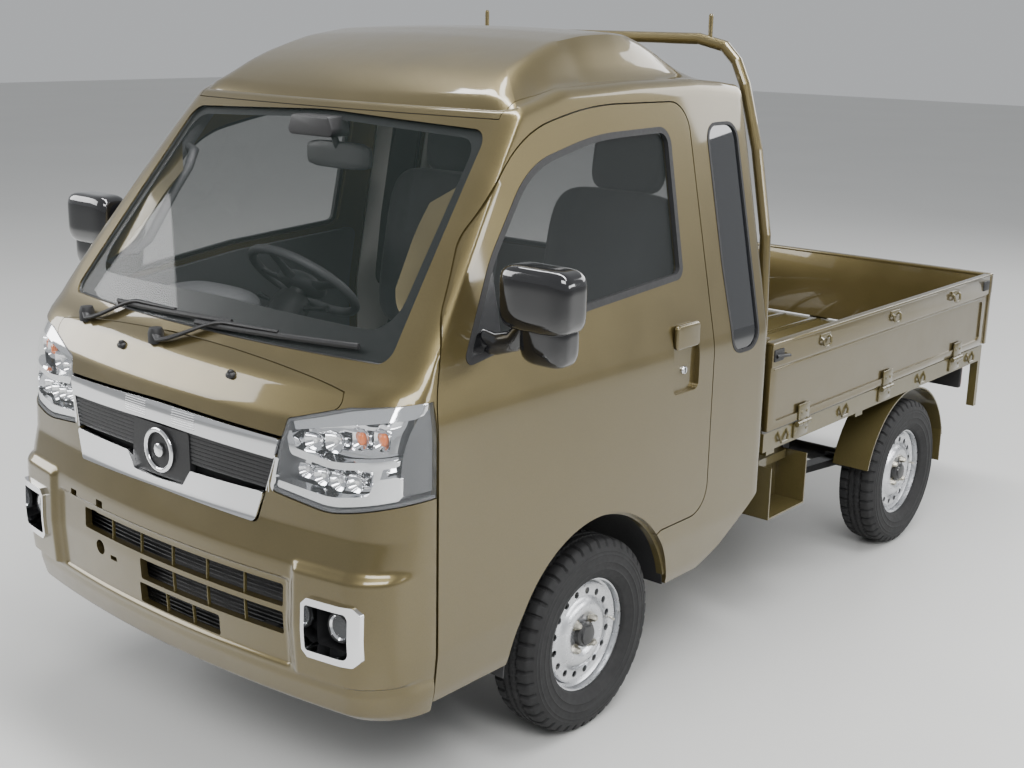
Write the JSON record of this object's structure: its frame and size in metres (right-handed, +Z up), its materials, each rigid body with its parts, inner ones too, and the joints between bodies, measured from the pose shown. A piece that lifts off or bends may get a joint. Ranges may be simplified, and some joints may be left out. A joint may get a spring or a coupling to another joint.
{
  "type": "kei truck",
  "caption": "Small cab-over pickup truck with a high-roofed cab, drop-sided bed, steering, doors and gates that open and wheels that roll.",
  "frame": {"origin": "on the ground, at the middle of the truck's length and width", "axes": "+X towards the truck's left side, -Y towards its front, +Z up"},
  "size_m": [1.8596, 3.395, 1.8849],
  "materials": {
    "olive_paint": "metallic olive, clear coated",
    "bed_paint": "metallic olive, worn satin",
    "chrome_trim": "bright plated",
    "lamp_lens": "clear lens",
    "clear_glass": "clear, slightly green",
    "dark_glass": "dark tinted",
    "gloss_black": "gloss",
    "black_plastic": "grained",
    "grey_plastic": "grained",
    "seat_fabric": "woven",
    "chassis_black": "satin black",
    "cast_metal": "as cast",
    "bare_steel": "dull",
    "tyre_rubber": "moulded rubber",
    "silver_rim": "silver lacquer",
    "red_lens": "moulded lens"
  },
  "bodies": {
    "body": {"cab_body": "olive_paint", "roof": "olive_paint", "front_panel": "olive_paint", "front_bumper": "olive_paint", "grille": "chrome_trim", "headlights": "lamp_lens", "fog_lamps": "chrome_trim", "windshield": "clear_glass", "cab_windows": "dark_glass", "wipers": "black_plastic", "dashboard": "grey_plastic", "steering_column": "grey_plastic", "left_seat": "seat_fabric", "right_seat": "seat_fabric", "chassis_frame": "chassis_black", "front_suspension": "chassis_black", "engine": "cast_metal", "propshaft": "chassis_black", "exhaust": "bare_steel", "fuel_tank": "chassis_black", "battery_tray": "bed_paint", "rear_axle": "chassis_black", "rear_mudguards": "black_plastic", "bed": "bed_paint", "guard_frame": "olive_paint", "tail_lights": "red_lens"},
    "left_door": {"left_door": "olive_paint", "left_door_glass": "clear_glass", "left_mirror": "gloss_black"},
    "right_door": {"right_door": "olive_paint", "right_door_glass": "clear_glass", "right_mirror": "gloss_black"},
    "left_steer": {"left_knuckle": "cast_metal"},
    "right_steer": {"right_knuckle": "cast_metal"},
    "steering_wheel": {"steering_wheel": "black_plastic"},
    "left_gate": {"left_gate": "olive_paint"},
    "right_gate": {"right_gate": "olive_paint"},
    "tailgate": {"tailgate": "olive_paint"},
    "front_left_wheel": {"front_left_tyre": "tyre_rubber", "front_left_rim": "silver_rim"},
    "front_right_wheel": {"front_right_tyre": "tyre_rubber", "front_right_rim": "silver_rim"},
    "rear_left_wheel": {"rear_left_tyre": "tyre_rubber", "rear_left_rim": "silver_rim"},
    "rear_right_wheel": {"rear_right_tyre": "tyre_rubber", "rear_right_rim": "silver_rim"}
  },
  "joints": [
    {"name": "left_door_hinge", "type": "hinge", "parent": "body", "child": "left_door", "pos_m": [0.7225, -1.415, 0.76], "axis": [0, 0, -1], "range_deg": [0, 65]},
    {"name": "right_door_hinge", "type": "hinge", "parent": "body", "child": "right_door", "pos_m": [-0.7225, -1.415, 0.76], "axis": [0, 0, 1], "range_deg": [0, 65]},
    {"name": "left_steer", "type": "hinge", "parent": "body", "child": "left_steer", "pos_m": [0.6, -0.827, 0.19], "axis": [-0.1393, 0, 0.9902], "range_deg": [-35, 35]},
    {"name": "right_steer", "type": "hinge", "parent": "body", "child": "right_steer", "pos_m": [-0.6, -0.827, 0.19], "axis": [0.1393, 0, 0.9902], "range_deg": [-35, 35]},
    {"name": "steering_wheel_turn", "type": "hinge", "parent": "body", "child": "steering_wheel", "pos_m": [-0.34, -0.892, 1.099], "axis": [0, 0.6428, 0.766], "range_deg": [-630, 630]},
    {"name": "front_left_spin", "type": "hinge", "parent": "left_steer", "child": "front_left_wheel", "pos_m": [0.645, -0.827, 0.2685], "axis": [1, 0, 0], "continuous": true},
    {"name": "front_right_spin", "type": "hinge", "parent": "right_steer", "child": "front_right_wheel", "pos_m": [-0.645, -0.827, 0.2685], "axis": [1, 0, 0], "continuous": true},
    {"name": "rear_left_spin", "type": "hinge", "parent": "body", "child": "rear_left_wheel", "pos_m": [0.645, 1.073, 0.2685], "axis": [1, 0, 0], "continuous": true},
    {"name": "rear_right_spin", "type": "hinge", "parent": "body", "child": "rear_right_wheel", "pos_m": [-0.645, 1.073, 0.2685], "axis": [1, 0, 0], "continuous": true},
    {"name": "left_gate_hinge", "type": "hinge", "parent": "body", "child": "left_gate", "pos_m": [0.731, 0.82, 0.645], "axis": [0, 1, 0], "range_deg": [0, 178]},
    {"name": "right_gate_hinge", "type": "hinge", "parent": "body", "child": "right_gate", "pos_m": [-0.731, 0.82, 0.645], "axis": [0, -1, 0], "range_deg": [0, 178]},
    {"name": "tailgate_hinge", "type": "hinge", "parent": "body", "child": "tailgate", "pos_m": [0, 1.691, 0.645], "axis": [-1, 0, 0], "range_deg": [0, 178]}
  ],
  "couplings": [
    {"joint": "right_steer", "follows": "left_steer", "ratio": 1},
    {"joint": "steering_wheel_turn", "follows": "left_steer", "ratio": 18}
  ]
}
